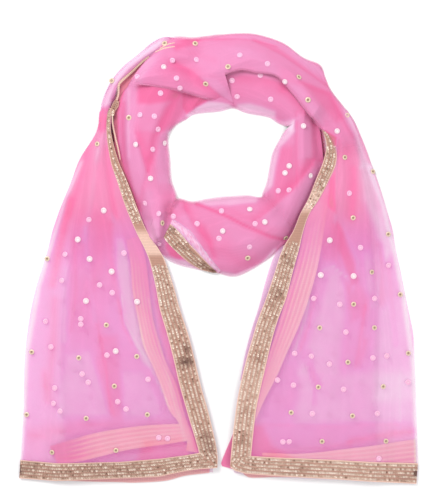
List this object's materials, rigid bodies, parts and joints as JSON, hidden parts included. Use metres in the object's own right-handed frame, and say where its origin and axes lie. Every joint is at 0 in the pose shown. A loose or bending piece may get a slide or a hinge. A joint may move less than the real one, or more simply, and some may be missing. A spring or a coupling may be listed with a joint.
{
  "type": "dupatta stole",
  "caption": "Sheer pink net stole with sequin dots and a sequin ribbon border, wound into a neck loop with two folded tails, laid flat.",
  "frame": {"origin": "middle of the bounding box, on the surface that the stole lies on", "axes": "+X to the right of the flat lay, +Y up it from the hems to the top of the loop, +Z up from the surface"},
  "size_m": [0.6376, 0.7213, 0.0293],
  "materials": {
    "soft_net": "sheer matt net",
    "hidden_net": "layered matt net",
    "sequin_ribbon": "sequins on ribbon"
  },
  "bodies": {
    "root": {"left_tail": "soft_net", "left_hem_border": "sequin_ribbon", "left_side_border": "sequin_ribbon", "left_under_hem_border": "sequin_ribbon", "left_under_side_border": "sequin_ribbon", "top_back_pass": "soft_net", "top_back_pass_hidden_layers": "hidden_net", "top_inner_pass": "soft_net", "top_inner_pass_hidden_layers": "hidden_net", "right_inner_pass": "soft_net", "right_inner_pass_hidden_layers": "hidden_net", "cowl": "soft_net", "cowl_hidden_layers": "hidden_net", "cowl_border": "sequin_ribbon", "left_inner_pass": "soft_net", "left_inner_pass_hidden_layers": "hidden_net", "top_front_pass": "soft_net", "top_front_pass_hidden_layers": "hidden_net", "right_tail": "soft_net", "right_hem_border": "sequin_ribbon", "right_side_border": "sequin_ribbon", "right_under_hem_border": "sequin_ribbon", "right_under_side_border": "sequin_ribbon"}
  },
  "joints": []
}
